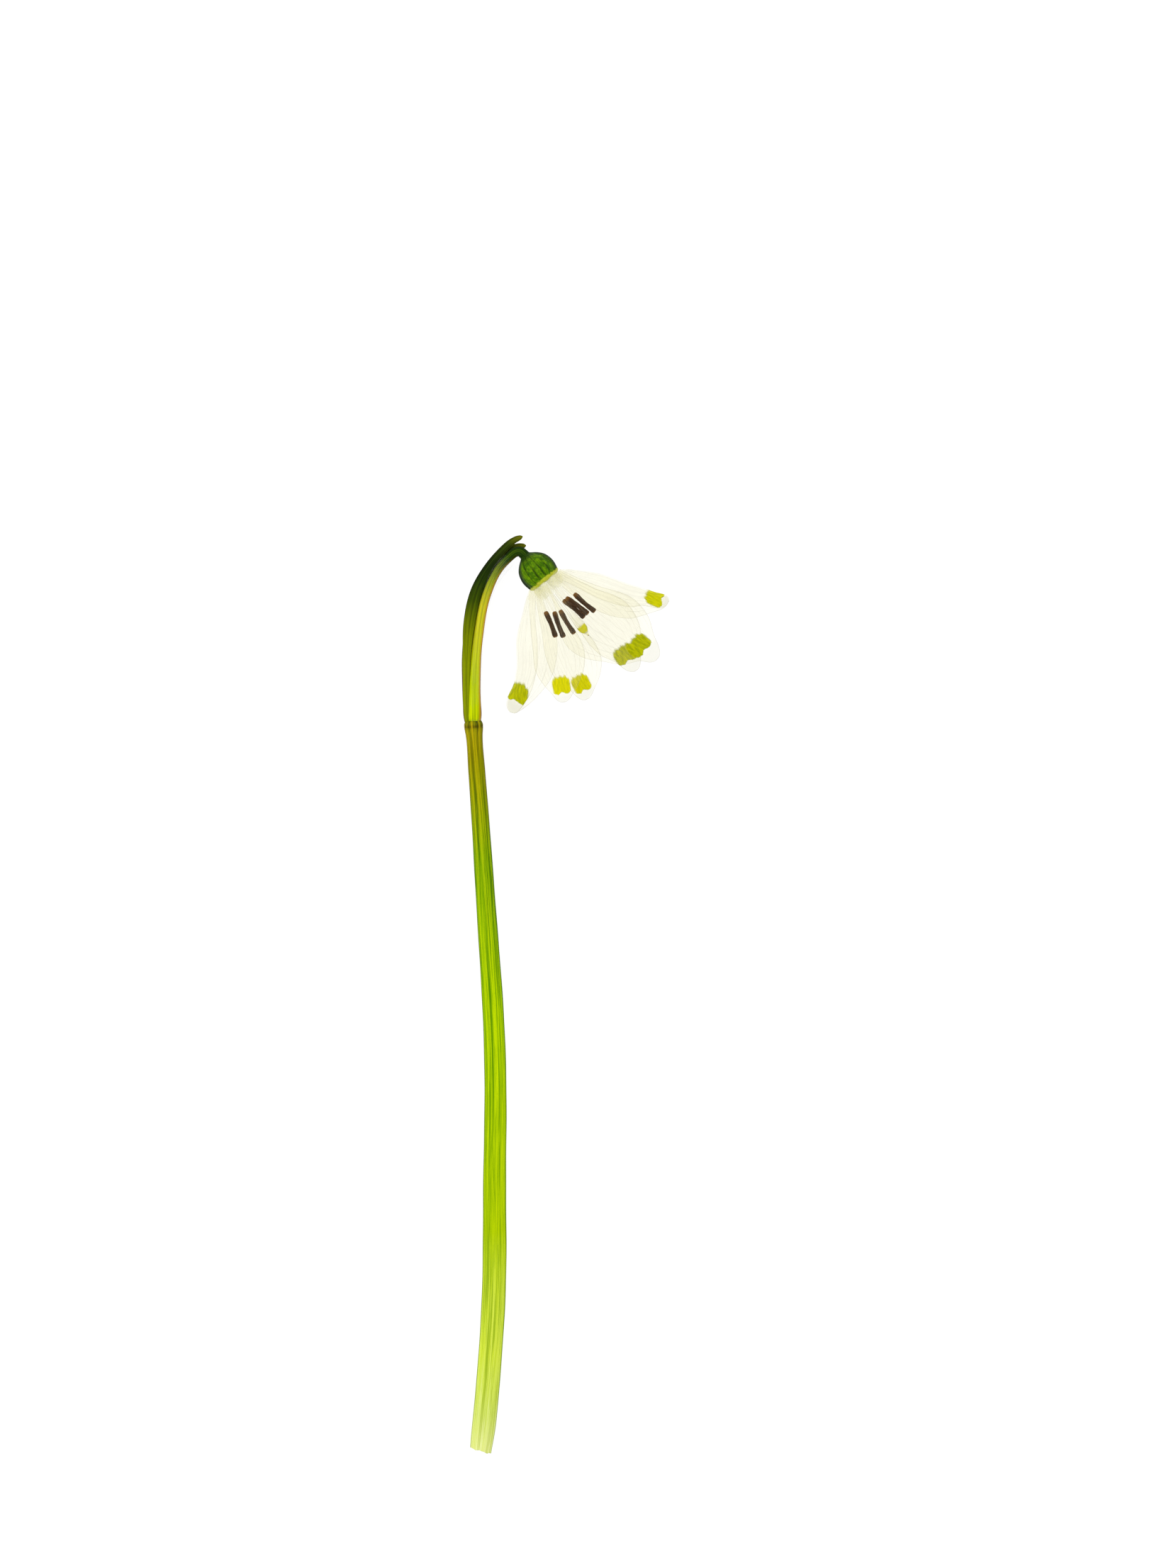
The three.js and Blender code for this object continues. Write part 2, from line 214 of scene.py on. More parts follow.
def grid_normals(surface):
    down, across = np.gradient(surface, axis=0), np.gradient(surface, axis=1)
    normal = np.cross(across, down)
    return normal / np.maximum(np.linalg.norm(normal, axis=-1, keepdims=True), 1e-9)


def closed_sheet(surface, thickness):
    """Points and faces of a closed sheet of varying thickness round a middle surface."""
    rows, columns = surface.shape[:2]
    shift = grid_normals(surface) * thickness[..., None] / 2
    points = np.concatenate([(surface + shift).reshape(-1, 3), (surface - shift).reshape(-1, 3)])
    back = rows * columns
    faces = grid_faces(rows, columns) + [face[::-1] for face in grid_faces(rows, columns, back)]
    edge = [(0, j) for j in range(columns)] + [(i, columns - 1) for i in range(1, rows)]
    edge += [(rows - 1, j) for j in range(columns - 2, -1, -1)] + [(i, 0) for i in range(rows - 2, 0, -1)]
    ring = [i * columns + j for i, j in edge]
    faces += [(a, b, b + back, a + back) for a, b in zip(ring, ring[1:] + ring[:1])]
    return points, faces


def stalk(line, stops, sides, wide, high, bulge=None, end_shift=None):
    """A closed tube along a line. wide(s) and high(s) are half its width and height, bulge(s, angle) swells both."""
    along, across, raised = line.directions(stops)
    s, a = np.meshgrid(stops, np.arange(sides) * 2 * math.pi / sides, indexing="ij")
    factor = np.ones_like(s) if bulge is None else bulge(s, a)
    rings = (
        line.at(stops)[:, None]
        + across[:, None] * (wide(stops)[:, None] * np.cos(a) * factor)[..., None]
        + raised[:, None] * (high(stops)[:, None] * np.sin(a) * factor)[..., None]
    )
    if end_shift is not None:
        rings = rings + along[:, None] * end_shift(s, a)[..., None]
    rows = len(stops)
    points = np.concatenate([rings.reshape(-1, 3), rings[0].mean(0)[None], rings[-1].mean(0)[None]])
    faces = grid_faces(rows, sides, wrap=True)
    first, last = rows * sides, rows * sides + 1
    for j in range(sides):
        k = (j + 1) % sides
        faces += [(first, k, j), (last, (rows - 1) * sides + j, (rows - 1) * sides + k)]
    lie = np.stack([np.cos(a), np.sin(a), s], -1).reshape(-1, 3)
    lie = np.concatenate([lie, [[0, 0, stops[0]], [0, 0, stops[-1]]]])
    return points, faces, {"lie": lie}


# -------- node helpers
def by_math(operation):
    return lambda value, other=0.0: value.nodes.math(operation, value, other)


class Value:
    """A node's output. A sum with it adds a Math node to its tree."""

    def __init__(self, nodes, socket):
        self.nodes, self.socket = nodes, socket

    def __rsub__(self, other):
        return self.nodes.math("SUBTRACT", other, self)

    __add__, __sub__, __mul__ = by_math("ADD"), by_math("SUBTRACT"), by_math("MULTIPLY")
    __truediv__, __pow__, __abs__ = by_math("DIVIDE"), by_math("POWER"), by_math("ABSOLUTE")


class Nodes:
    """Short ways to build a node tree. An input is a plain number, colour or name, or a Value."""

    def __init__(self, tree):
        self.tree = tree

    def add(self, kind, inputs=None, **settings):
        node = self.tree.nodes.new(kind)
        for key, value in settings.items():
            setattr(node, key, value)
        for key, value in (inputs or {}).items():
            self.feed(node.inputs[key], value)
        return node

    def out(self, kind, inputs=None, at=0, **settings):
        return Value(self, self.add(kind, inputs, **settings).outputs[at])

    def grow(self, kind, inputs=None, **settings):
        return self.out("GeometryNode" + kind, inputs, **settings)

    def feed(self, socket, value):
        if isinstance(value, Value):
            self.tree.links.new(value.socket, socket)
        else:
            socket.default_value = value

    def math(self, operation, a, b=0.0, clamp=False):
        return self.out("ShaderNodeMath", {0: a, 1: b}, operation=operation, use_clamp=clamp)

    def fade(self, value, low, high, end=1.0, start=0.0):
        """start where value is at low and end where it is at high, with a smooth step between them."""
        inputs = {0: value, 1: low, 2: high, 3: start, 4: end}
        return self.out("ShaderNodeMapRange", inputs, interpolation_type="SMOOTHSTEP")

    def mix(self, factor, a, b):
        """Two colours mixed. The node's sockets for colours are its inputs 6 and 7 and its output 2."""
        return self.out("ShaderNodeMix", {0: factor, 6: a, 7: b}, 2, data_type="RGBA")

    def layers(self, color, *coats):
        """Colours laid over each other, each as far as its mask says."""
        for mask, coat in coats:
            color = self.mix(mask, color, coat)
        return color

    def ramp(self, factor, stops):
        node = self.add("ShaderNodeValToRGB", {0: factor})
        elements = node.color_ramp.elements
        while len(elements) < len(stops):
            elements.new(0.5)
        for element, (at, color) in zip(elements, stops):
            element.position, element.color = at, color
        return Value(self, node.outputs["Color"])

    def noise(self, vector, scale, detail=3.0, roughness=0.55):
        inputs = {"Vector": vector, "Scale": scale, "Detail": detail, "Roughness": roughness}
        return self.out("ShaderNodeTexNoise", inputs, "Fac")

    def combine(self, x=0.0, y=0.0, z=0.0):
        return self.out("ShaderNodeCombineXYZ", {0: x, 1: y, 2: z})

    def named(self, attribute):
        """The three parts of a named value on the piece's points."""
        vector = self.out("ShaderNodeAttribute", at="Vector", attribute_name=attribute)
        return [Value(self, part) for part in self.add("ShaderNodeSeparateXYZ", {0: vector}).outputs]

    def place(self):
        """The place on the flower, in millimetres."""
        inputs = {0: self.out("ShaderNodeTexCoord", at="Object"), 1: (1 / MM, 1 / MM, 1 / MM)}
        return self.out("ShaderNodeVectorMath", inputs, operation="MULTIPLY")

    def group(self, tree, **inputs):
        return self.out("ShaderNodeGroup", inputs, node_tree=tree)


class Skin(Nodes):
    """A material with its Principled shader, and the helper that adds nodes to it."""

    def __init__(self, name, roughness, specular, subsurface=0.0):
        self.material = bpy.data.materials.new(name)
        self.material.use_nodes = True
        super().__init__(self.material.node_tree)
        self.shader = self.tree.nodes["Principled BSDF"]
        inputs = self.shader.inputs
        inputs["Roughness"].default_value = roughness
        inputs["Specular IOR Level"].default_value = specular
        inputs["Subsurface Weight"].default_value = subsurface
        inputs["Subsurface Radius"].default_value = (1.0, 1.0, 0.5)
        inputs["Subsurface Scale"].default_value = 0.8 * MM

    def let_light_through(self, color, share):
        """A share of the surface passes what lies behind it, in the tissue's own tint."""
        clear = self.out("ShaderNodeBsdfTransparent", {"Color": color})
        both = self.out("ShaderNodeMixShader", {0: share, 1: Value(self, self.shader.outputs[0]), 2: clear})
        self.feed(self.tree.nodes["Material Output"].inputs["Surface"], both)

    def made(self, color, cover=None, relief=None):
        """The material in this colour, with its cover and its relief: a height, a depth in millimetres, a strength."""
        self.feed(self.shader.inputs["Base Color"], color)
        if cover is not None:
            self.feed(self.shader.inputs["Alpha"], cover)
        if relief is not None:
            height, depth, strength = relief
            inputs = {"Height": height, "Distance": depth * MM, "Strength": strength}
            self.feed(self.shader.inputs["Normal"], self.out("ShaderNodeBump", inputs, "Normal"))
        return self.material


def tint(red, green, blue):
    """A colour named by its 0 to 255 values on screen, as the linear colour that shaders use."""
    parts = [c / 255 for c in (red, green, blue)]
    return (*[c / 12.92 if c <= 0.04045 else ((c + 0.055) / 1.055) ** 2.4 for c in parts], 1.0)


def node_group(name, kind, inputs, result, build):
    """A node tree with named inputs, each given as a number or as the kind of its socket, and one result."""
    tree = bpy.data.node_groups.new(name, kind)
    for key, value in inputs.items():
        socket_kind = value if isinstance(value, str) else {int: "Int", float: "Float"}[type(value)]
        socket = tree.interface.new_socket(key, in_out="INPUT", socket_type="NodeSocket" + socket_kind)
        if socket_kind != value:
            socket.default_value = value
    key, socket_kind = result
    tree.interface.new_socket(key, in_out="OUTPUT", socket_type="NodeSocket" + socket_kind)
    nodes = Nodes(tree)
    given = nodes.add("NodeGroupInput").outputs
    made = build(nodes, *(Value(nodes, given[key]) for key in inputs))
    nodes.feed(nodes.add("NodeGroupOutput").inputs[key], made)
    return tree


def build_veins(nodes, across, along, count, waver, width):
    """Fine parallel lines along a piece, wavering a little and breaking up: 1 on a line, 0 between."""
    drift = nodes.noise(nodes.combine(across, along), 2.2, 2.0)
    place = across * count + drift * waver
    line = nodes.fade(nodes.math("PINGPONG", place, 0.5), width, 0.0)
    strength = nodes.noise(nodes.combine(place * 1.7, along), 1.3, 2.0)
    return line * nodes.fade(strength, 0.3, 0.62)


def build_streaks(nodes, across, around, along, count, stretch):
    """Long irregular streaks that run with a stem, from 0 to 1. Across and Round place them round the stem."""
    return nodes.noise(nodes.combine(across * count, around * count, along * stretch), 1.0, 5.0, 0.62)


def build_mottle(nodes, place, scale, softness):
    """Soft irregular patches."""
    return nodes.fade(nodes.noise(place, scale, 5.0, 0.6), 0.5 - softness, softness + 0.5)


def effect(name, inputs, build):
    return node_group(name, "ShaderNodeTree", inputs, ("Mask", "Float"), build)


VEINS = effect("lengthwise veins", {"Across": 0.0, "Along": 0.0, "Count": 8.0, "Waver": 0.6, "Width": 0.3}, build_veins)
STREAKS = effect(
    "long streaks", {"Across": 0.0, "Round": 0.0, "Along": 0.0, "Count": 3.0, "Stretch": 0.06}, build_streaks
)
MOTTLE = effect("mottle", {"Place": "Vector", "Scale": 5.0, "Softness": 0.2}, build_mottle)

# -------- materials
TISSUE_TINT = (0.984, 0.977, 0.912, 1)


def green_spot(nodes, side, back):
    """Where a tepal is green: a flat dome with ragged edges, notched below."""
    ragged = nodes.noise(nodes.combine(side * 2.4, back * 0.5), 1.0, 4.0, 0.6) - 0.5
    width = abs(side)
    upper = (width / 1.55) ** 3.0 * -0.8 + SPOT_LENGTH + ragged * 1.3
    lower = nodes.fade(width, 0.75, 0.0, 0.42) + (width / 1.6) ** 4.0 * 0.55 + ragged * 0.45
    edge = ragged * 0.6 + SPOT_HALF
    below = nodes.fade(back - lower, -0.08, 0.16)
    above = nodes.fade(upper - back, -0.25, 0.5)
    beside = nodes.fade(edge - width, -0.15, 0.3)
    return below * above * beside


def tepal_material():
    """Thin white tissue, clearer towards the claw and the very tip, with fine veins and a green spot under the tip.
    Values on its points: lie = (share across, mm from the claw, share along), tip = (mm beside the spot's middle, mm
    from its lower edge, mm inside the margin), tone = from 0 for a pale spot to 1 for a dark one."""
    skin = Skin("tepal tissue", 0.6, 0.05)
    across, out, along = skin.named("lie")
    side, back, inside = skin.named("tip")
    deep = skin.named("tone")[0]
    veins = skin.group(VEINS, Across=across, Along=out * 0.2, Count=6.0, Waver=0.35, Width=0.13)
    hairs = skin.group(VEINS, Across=across, Along=out * 0.3, Count=19.0, Waver=0.7, Width=0.2)
    veins = skin.math("MAXIMUM", veins, hairs * 0.3) * skin.fade(along, 0.97, 0.8)
    patches = skin.group(MOTTLE, Place=skin.place(), Scale=0.45, Softness=0.2)
    white = skin.layers(
        skin.mix(patches, (0.74, 0.72, 0.62, 1), (0.60, 0.58, 0.47, 1)),
        (veins, (0.34, 0.31, 0.20, 1)),
        (skin.fade(back, 1.0, -0.6, 0.8), (0.42, 0.42, 0.34, 1)),
        (skin.fade(inside, 0.2, 0.05, 0.8), (0.30, 0.28, 0.20, 1)),
        (skin.fade(out, 3.2, 0.4, 0.8), (0.93, 0.91, 0.68, 1)),
    )
    spot = green_spot(skin, side, back)
    streaks = skin.fade(skin.noise(skin.combine(side * 4.0, back * 0.7), 1.0, 4.0), 0.32, 0.68)
    pale = skin.mix(streaks, tint(196, 196, 0), tint(228, 220, 0))
    dark = skin.mix(streaks, tint(142, 152, 0), tint(186, 190, 0))
    color = skin.mix(skin.fade(spot, 0.0, 0.12), white, skin.mix(deep, pale, dark))
    cover = (
        skin.fade(out, 7.0, 13.0, 0.04, 0.018)
        + skin.fade(out, 3.0, 0.3, 0.10)
        + veins * skin.fade(out, 7.0, 13.0, 0.12, 0.07)
        + patches * 0.015
        + skin.fade(inside, 0.16, 0.02) * 0.22
        + skin.fade(back, 1.0, -0.6, 0.10)
    )
    skin.let_light_through(TISSUE_TINT, skin.fade(spot, 0.0, 1.0, 0.02, 0.5))
    return skin.made(color, skin.math("ADD", cover, spot * 0.93, clamp=True), (veins, 0.03, 0.6))


def vein_material():
    """The raised veins inside a tepal, a little denser and greyer than the tissue round them."""
    skin = Skin("tepal vein", 0.6, 0.15)
    patches = skin.group(MOTTLE, Place=skin.place(), Scale=0.8, Softness=0.2)
    color = skin.mix(patches, (0.46, 0.43, 0.31, 1), (0.66, 0.63, 0.50, 1))
    return skin.made(color, skin.fade(patches, 0.0, 1.0, 0.10, 0.03))


def stem_material(name, colors, count, length, bright_share=0.7, painted_shade_from=0.93, stain=None):
    """A green stem: colours that change along it, in long streaks, with a thin darker line of painted shade down both
    sides, where light passes through the stem edge-on, and a stain down its right side. Value on its points: lie =
    (cosine round the stem, sine, share along)."""
    skin = Skin(name, 0.5, 0.02, subsurface=0.1)
    cosine, sine, along = skin.named("lie")
    plain, dark, bright, edge = (skin.ramp(along, stops) for stops in colors)
    place = {"Across": cosine, "Round": sine, "Along": along * length}
    broad = skin.group(STREAKS, **place, Count=count, Stretch=0.03)
    fine = skin.group(STREAKS, **place, Count=count * 3.0, Stretch=0.09)
    color = skin.layers(
        plain,
        (skin.fade(broad, 0.51, 0.6, bright_share), bright),
        (skin.fade(broad, 0.49, 0.38, 0.75), dark),
        (skin.fade(fine, 0.48, 0.38, 0.8), dark),
        (skin.fade(fine, 0.55, 0.66, 0.6), bright),
        (skin.fade(skin.noise(skin.place(), 4.0, 4.0, 0.7), 0.45, 0.25, 0.35), dark),
    )
    if stain is not None:
        color = skin.mix(skin.fade(cosine, 0.55, 0.9) * skin.fade(along, 0.98, 0.7, 0.85), color, stain)
    # painted shade: the thin darker line down both sides, where light passes through the stem edge-on
    sides = skin.fade(abs(cosine), painted_shade_from, painted_shade_from + 0.05)
    skin.feed(skin.shader.inputs["Roughness"], skin.fade(fine, 0.3, 0.7, 0.6, 0.42))
    return skin.made(skin.mix(sides * 0.9, color, edge), relief=(fine, 0.05, 0.6))


def film_material():
    """Clear papery film with a faint grain. Value on its points: lie = (share round the stalk, 0, share along)."""
    skin = Skin("spathe membrane", 0.4, 0.2)
    around, _, along = skin.named("lie")
    grain = skin.group(VEINS, Across=around, Along=along * 5.0, Count=9.0, Waver=0.5, Width=0.3)
    middle = skin.fade(abs(around), 0.12, 0.0, 0.10)
    cover = (grain * 0.02 + 0.012 + middle) * skin.fade(along, 0.925, 0.85)
    return skin.made(skin.mix(grain, (0.7, 0.7, 0.66, 1), (0.4, 0.39, 0.32, 1)), cover)


def ovary_material():
    """Deep green with paler patches between dark lengthwise seams, painted shade darkest down both sides, and a
    yellow-green rim.
    Value on its points: lie = (cosine round its axis, share of a turn, millimetres from the neck)."""
    skin = Skin("ovary skin", 0.55, 0.05, subsurface=0.08)
    cosine, turn, out = skin.named("lie")
    place = skin.place()
    blotch = skin.group(MOTTLE, Place=place, Scale=1.1, Softness=0.1)
    seams = skin.group(VEINS, Across=turn, Along=out * 0.3, Count=17.0, Waver=0.5, Width=0.26)
    fine = skin.group(VEINS, Across=turn, Along=out * 0.5, Count=52.0, Waver=3.5, Width=0.35)
    level = out + (skin.noise(place, 1.5, 4.0) - 0.5) * 0.9
    color = skin.layers(
        skin.mix(blotch * 0.8, tint(64, 106, 0), tint(106, 148, 0)),
        (skin.fade(skin.noise(place, 2.2, 3.0), 0.55, 0.72, 0.5), tint(134, 174, 4)),
        (fine * 0.45, tint(30, 62, 2)),
        (seams * 0.8, tint(20, 44, 4)),
        (skin.fade(out, 1.9, 0.3, 0.85), tint(24, 46, 8)),
        # painted shade: darkest down both sides of the ovary, where light crosses it edge-on
        (skin.fade(abs(cosine), 0.72, 0.98, 0.92), tint(14, 34, 6)),
        (skin.fade(level, OVARY_LENGTH - 0.28, OVARY_LENGTH + 0.02), tint(190, 196, 50)),
    )
    return skin.made(color, relief=(1.0 - seams, 0.12, 0.7))


def anther_material():
    """Dark brown pollen sacs, amber at both ends and along their edges, with a dusty grain.
    Value on its points: lie = (cosine, sine, share along)."""
    skin = Skin("anther", 0.8, 0.05)
    cosine, _, along = skin.named("lie")
    dust = skin.noise(skin.place(), 7.0, 4.0)
    ends = skin.math("ADD", skin.fade(along, 0.2, 0.02), skin.fade(along, 0.94, 1.0), clamp=True)
    color = skin.layers(
        skin.mix(skin.fade(dust, 0.4, 0.65), tint(34, 14, 4), tint(84, 52, 16)),
        (skin.fade(abs(cosine), 0.8, 1.0, 0.6), tint(98, 62, 18)),
        (ends * 0.85, tint(124, 80, 22)),
    )
    return skin.made(color, relief=(dust, 0.06, 0.7))


def thread_material():
    """Pale clear filament, denser at its swollen foot. Value on its points: lie = (cosine, sine, share along)."""
    skin = Skin("filament", 0.55, 0.1)
    along = skin.named("lie")[2]
    color = skin.mix(skin.noise(skin.place(), 3.0, 3.0), tint(252, 250, 228), tint(240, 236, 200))
    return skin.made(color, skin.fade(along, 0.15, 0.6, 0.08, 0.3))


def pad_material():
    """Cream, slightly lumpy tissue."""
    skin = Skin("cream pad", 0.6, 0.1)
    grain = skin.noise(skin.place(), 2.0, 4.0)
    color = skin.mix(skin.fade(grain, 0.35, 0.65), tint(255, 255, 240), tint(252, 250, 222))
    return skin.made(color, skin.fade(grain, 0.3, 0.7, 0.08, 0.2), (grain, 0.05, 0.5))


def style_material():
    """Clear cream club with a yellow-green band below the pale stigma, and painted shade, darker and denser, down both
    sides.
    Value on its points: lie = (cosine, sine, millimetres out)."""
    skin = Skin("style", 0.5, 0.15)
    cosine, _, out = skin.named("lie")
    place = skin.place()
    mottle = skin.group(MOTTLE, Place=place, Scale=1.2, Softness=0.2)
    level = out + (skin.noise(place, 1.3, 3.0) - 0.5) * 0.7
    band = skin.fade(level, 9.85, 10.2) * skin.fade(level, 11.5, 11.25)
    # painted shade: darker and denser down both sides of the club, where light crosses it edge-on
    sides = skin.fade(abs(cosine), 0.85, 1.0, 0.6)
    color = skin.layers(
        skin.mix(mottle, tint(250, 246, 216), tint(238, 232, 186)),
        (band, skin.mix(mottle, tint(222, 214, 0), tint(190, 192, 0))),
        (sides, tint(176, 168, 60)),
        (skin.fade(out, 11.95, 12.05), tint(92, 70, 30)),
    )
    cover = skin.fade(out, 6.0, 9.5, 0.22, 0.03) + sides * 0.25 + band
    return skin.made(color, skin.math("ADD", cover, skin.fade(out, 11.3, 11.7, 0.7), clamp=True), (mottle, 0.03, 0.4))


def tones(skin, dark, bright, edge):
    """Colour stops along a stem, from its lower end at 0 to its upper end: its skin, its streaks and the painted shade
    down its sides.
    """
    return [[(at, tint(*color)) for at, *color in stops] for stops in (skin, dark, bright, edge)]


# In each table the edge stops colour the painted shade down the stem's sides.
SCAPE_COLORS = tones(
    skin=[(0.0, 232, 240, 140), (0.05, 212, 230, 100), (0.13, 212, 230, 62), (0.3, 174, 202, 0), (0.55, 162, 198, 0),
        (0.72, 134, 176, 0), (0.82, 122, 162, 0), (0.9, 134, 148, 0), (0.96, 142, 140, 0), (0.985, 150, 146, 8),
        (0.9905, 128, 130, 8), (0.9925, 46, 44, 6), (0.9945, 110, 118, 8), (1.0, 96, 112, 8)],
    dark=[(0.0, 204, 214, 110), (0.08, 166, 190, 40), (0.3, 108, 152, 0), (0.6, 84, 138, 0), (0.8, 40, 92, 0),
        (0.9, 78, 92, 2), (0.97, 104, 92, 4), (1.0, 50, 52, 8)],
    bright=[(0.0, 246, 250, 190), (0.12, 226, 240, 110), (0.3, 210, 230, 10), (0.6, 206, 230, 0), (0.8, 182, 206, 10),
        (0.9, 194, 184, 10), (1.0, 212, 182, 14)],
    edge=[(0.0, 176, 190, 120), (0.12, 116, 140, 30), (0.5, 66, 100, 4), (0.85, 58, 76, 6), (0.94, 96, 66, 26),
        (1.0, 84, 62, 22)],
)
PEDICEL_COLORS = tones(
    skin=[(0.0, 126, 150, 2), (0.05, 206, 222, 0), (0.25, 194, 212, 0), (0.45, 206, 206, 0), (0.62, 204, 196, 0),
        (0.75, 150, 162, 2), (0.88, 44, 74, 6), (1.0, 26, 52, 8)],
    dark=[(0.0, 60, 82, 4), (0.1, 140, 168, 0), (0.5, 160, 158, 0), (0.7, 110, 130, 0), (0.85, 22, 44, 6),
        (1.0, 16, 34, 8)],
    bright=[(0.0, 206, 220, 20), (0.3, 206, 222, 20), (0.6, 220, 206, 14), (0.8, 122, 150, 10), (1.0, 60, 92, 8)],
    edge=[(0.0, 96, 52, 30), (0.3, 120, 78, 36), (0.6, 150, 96, 34), (0.8, 60, 62, 16), (1.0, 12, 30, 8)],
)
BRACT_COLORS = tones(
    skin=[(0.0, 136, 150, 4), (0.25, 140, 154, 0), (0.42, 126, 138, 0), (0.6, 50, 70, 4), (0.8, 24, 42, 8),
        (0.92, 42, 58, 8), (1.0, 104, 110, 14)],
    dark=[(0.0, 96, 104, 4), (0.4, 80, 92, 0), (0.7, 12, 24, 6), (1.0, 46, 54, 8)],
    bright=[(0.0, 150, 156, 10), (0.4, 120, 136, 0), (0.7, 46, 72, 6), (0.93, 70, 92, 10), (1.0, 150, 140, 20)],
    edge=[(0.0, 92, 50, 34), (0.4, 50, 44, 16), (0.8, 18, 28, 10), (0.94, 84, 74, 14), (1.0, 130, 106, 22)],
)


# -------- the bell
LEFT_FOLD = Line(
    [(0, -2.6), (2.2, -5.9), (5.4, -9.75), (8.9, -12.6), (11.1, -14.9), (11.8, -16.4), (12.25, -17.5), (12.9, -18.3),
     (13.55, -18.5), (14.1, -18.42)]
)
RIGHT_FOLD = Line(
    [(0, 3.2), (1.4, 5.0), (5.7, 8.75), (9.3, 10.95), (12.3, 12.95), (14.0, 14.1), (15.1, 14.52), (15.7, 14.42),
     (16.05, 14.1)]
)


def outline(fold):
    """The fold's y at a distance x along the axis."""
    order = np.argsort(fold.path[:, 0])
    xs, ys = fold.path[order, 0], fold.path[order, 1]
    return lambda x: np.interp(x, xs, ys)


left_of, right_of = outline(LEFT_FOLD), outline(RIGHT_FOLD)


def bell_height(x, y, side):
    """Height of the bell's surface over its axis on the upper (side 1) or lower (side -1) face."""
    side = np.broadcast_to(side, np.shape(x))
    swell = np.where(side > 0, SWELL[1], SWELL[-1])
    reach = np.where(side > 0, SWELL_REACH[1], SWELL_REACH[-1])
    most = RING_RADIUS + swell * np.sin(np.clip(x / reach, 0, 1) * math.pi / 2)
    left, right = left_of(x), right_of(x)
    share = np.clip((2 * y - left - right) / (right - left), -1, 1)
    return side * most * np.sqrt(1 - share * share)


def tip_cap(s):
    return np.where(s < TIP_ROUNDING, 1.0, np.sqrt(np.clip(1 - ((s - TIP_ROUNDING) / (1 - TIP_ROUNDING)) ** 2, 0, 1)))


def face_tepal(midrib, side, low, high):
    """The middle surface of a tepal on the bell's upper or lower face, by s along it and t across."""
    line, low_half, high_half = Line(midrib), stations(low), stations(high)

    def surface(s, t):
        along = line.along(s)
        half = np.where(t < 0, low_half(s), high_half(s)) * tip_cap(s)
        p = line.at(s)
        x, y = p[..., 0] - along[..., 1] * half * t, p[..., 1] + along[..., 0] * half * t
        return np.stack([x, y, bell_height(x, y, side)], -1)

    return surface


def side_tepal(fold, upper, under):
    """The middle surface of a tepal folded round one side of the bell: t is 0 on the fold, 1 and -1 at its margins."""
    upper_margin, under_margin = Line(upper), Line(under)
    opening = stations([(0, 1), (HOOD_START, 1), (1, HOOD_CLOSED)])

    def surface(s, t):
        margin = np.where((t < 0)[..., None], under_margin.at(s), upper_margin.at(s))
        share = (1 - np.cos(t * math.pi / 2))[..., None]
        p = fold.at(s) * (1 - share) + margin * share
        side = np.where(t < 0, -1.0, 1.0)
        gape = np.where(s < HOOD_START, 1.0, opening(s))
        hood = HOOD_OPENING * (1 - gape) * np.sin(t * math.pi / 2)
        p[..., 2] = side * np.hypot(bell_height(p[..., 0], p[..., 1], side) * gape, hood)
        return p

    return surface


def lie_values(surface, s, t, spot):
    """Where each point lies on its tepal: for the veins, for the spot under the tip and for the margin."""
    run = np.linalg.norm(np.diff(surface, axis=1), axis=-1)
    middle = surface.shape[1] // 2
    reach = np.concatenate([np.zeros((len(surface), 1)), np.cumsum(run, axis=1)], axis=1)
    sideways = reach - reach[:, middle : middle + 1]
    rib = np.linalg.norm(np.diff(surface[:, middle], axis=0), axis=-1)
    out = np.concatenate([[0.0], np.cumsum(rib)])
    out_grid = np.repeat(out[:, None], surface.shape[1], axis=1)
    inside = np.minimum(np.minimum(reach, reach[:, -1:] - reach), out[-1] - out_grid)
    inside = np.where(s > 0.1, inside, 1.0)
    lie = np.stack([t, out_grid, s], -1)
    aside, back, wide = spot
    tip = np.stack([(sideways - aside) / wide, out[-1] - out_grid - back, inside], -1)
    return lie, tip


def add_tepal(name, seed, material, shape, out, pleats, spot, tone, folded=False):
    """A thin tepal: the middle surface shifted to its whorl, softly pleated and waved at its margins."""
    run = 1 - (1 - np.linspace(0, 1, TEPAL_ROWS)) ** 1.5
    end = FOLDED_END if folded else FLAT_END
    s, t = np.meshgrid(FIRST_SHARE + (end - FIRST_SHARE) * run, np.linspace(-1, 1, TEPAL_COLUMNS), indexing="ij")
    middle = shape(s, t)
    phase = np.random.default_rng(seed).uniform(0, 2 * math.pi, 4)
    body = ease(s / 0.2) * ease((1 - s) / 0.12)
    ripple = 0.05 * np.cos(t * math.pi * pleats + phase[0]) * body
    ripple += 0.10 * np.sin(s * 9 + phase[1]) * ease((np.abs(t) - 0.55) / 0.45) * body
    ripple += 0.05 * np.sin(s * 17 + t * 3 + phase[2]) * body
    offset = WHORL_OFFSET if "outer" in name else -WHORL_OFFSET
    standing = 1 - ease((s - 0.84) / 0.13) if folded else np.ones_like(s)
    middle = middle - grid_normals(middle) * (out * offset * standing + ripple)[..., None]
    inner = ease((1 - np.abs(t)) / 0.3) * ease((1 - s) / 0.1)
    placed = from_bell(middle)
    points, faces = closed_sheet(placed, MARGIN_THICKNESS + (TEPAL_THICKNESS - MARGIN_THICKNESS) * inner)
    lie, tip = (np.concatenate([value.reshape(-1, 3)] * 2) for value in lie_values(placed, s, t, spot))
    values = {"lie": lie, "tip": tip, "tone": np.full((len(points), 3), tone)}
    piece(name + "_tissue", (points, faces, values), material, [name])
    return placed, s[:, 0]


